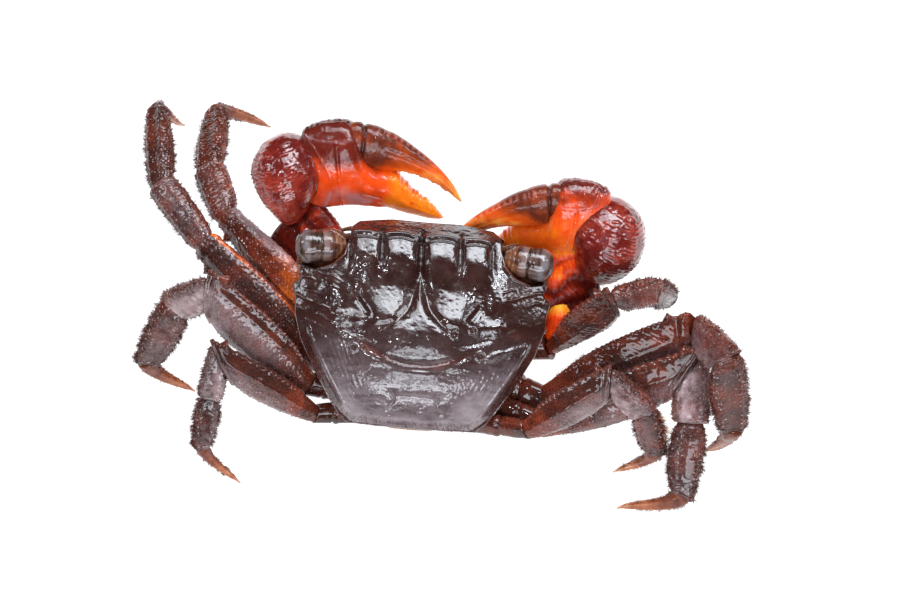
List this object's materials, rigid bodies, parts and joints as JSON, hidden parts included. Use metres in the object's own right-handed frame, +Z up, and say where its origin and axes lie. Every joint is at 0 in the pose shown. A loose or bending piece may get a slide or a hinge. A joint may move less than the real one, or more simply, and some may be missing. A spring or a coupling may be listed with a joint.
{
  "type": "red-clawed mangrove crab, life-size model",
  "caption": "Still, life-size model of a red-clawed mangrove crab standing on its walking legs, with both claws raised and folded in front of its square dark back.",
  "frame": {"origin": "middle of the footprint, on the floor the toes stand on", "axes": "+Z up; the crab faces -Y, and +X is the crab's left side"},
  "size_m": [0.082, 0.0614, 0.0233],
  "materials": {
    "shell": "wet, glossy, very dark purple brown, finely pitted, with grooves between the regions",
    "flank": "satin brown, netted with short brown hairs",
    "underside": "satin, pale brown",
    "leg": "satin purple brown, grained, with rows of stiff reddish hairs along the edges",
    "toe": "satin orange brown, with a pale horny tip",
    "arm": "glossy red orange, with dark red grained ridges",
    "wrist": "glossy dark red, covered in short wrinkled rows of grains",
    "palm": "glossy red orange, darker above, grained",
    "finger": "glossy orange, paler at the tip, toothed",
    "stalk": "glossy amber brown with darker bands",
    "cornea": "glassy grey green"
  },
  "bodies": {
    "root": {"carapace": "shell", "flanks": "flank", "sternum": "underside", "abdomen": "underside", "mouth_plate_left": "flank", "eyestalk_left": "stalk", "eye_left": "cornea", "feeler_left": "flank", "claw_left_arm": "arm", "claw_left_wrist": "wrist", "claw_left_palm": "palm", "claw_left_finger": "finger", "mouth_plate_right": "flank", "eyestalk_right": "stalk", "eye_right": "cornea", "feeler_right": "flank", "claw_right_arm": "arm", "claw_right_wrist": "wrist", "claw_right_palm": "palm", "claw_right_finger": "finger", "leg_left_1_hip": "leg", "leg_left_1_thigh": "leg", "leg_left_1_ankle": "leg", "leg_left_1_foot": "leg", "leg_left_1_toe": "toe", "leg_left_2_hip": "leg", "leg_left_2_thigh": "leg", "leg_left_2_ankle": "leg", "leg_left_2_foot": "leg", "leg_left_2_toe": "toe", "leg_left_3_hip": "leg", "leg_left_3_thigh": "leg", "leg_left_3_ankle": "leg", "leg_left_3_foot": "leg", "leg_left_3_toe": "toe", "leg_left_4_hip": "leg", "leg_left_4_thigh": "leg", "leg_left_4_ankle": "leg", "leg_left_4_foot": "leg", "leg_left_4_toe": "toe", "leg_right_1_hip": "leg", "leg_right_1_thigh": "leg", "leg_right_1_ankle": "leg", "leg_right_1_foot": "leg", "leg_right_1_toe": "toe", "leg_right_2_hip": "leg", "leg_right_2_thigh": "leg", "leg_right_2_ankle": "leg", "leg_right_2_foot": "leg", "leg_right_2_toe": "toe", "leg_right_3_hip": "leg", "leg_right_3_thigh": "leg", "leg_right_3_ankle": "leg", "leg_right_3_foot": "leg", "leg_right_3_toe": "toe", "leg_right_4_hip": "leg", "leg_right_4_thigh": "leg", "leg_right_4_ankle": "leg", "leg_right_4_foot": "leg", "leg_right_4_toe": "toe"}
  },
  "joints": []
}
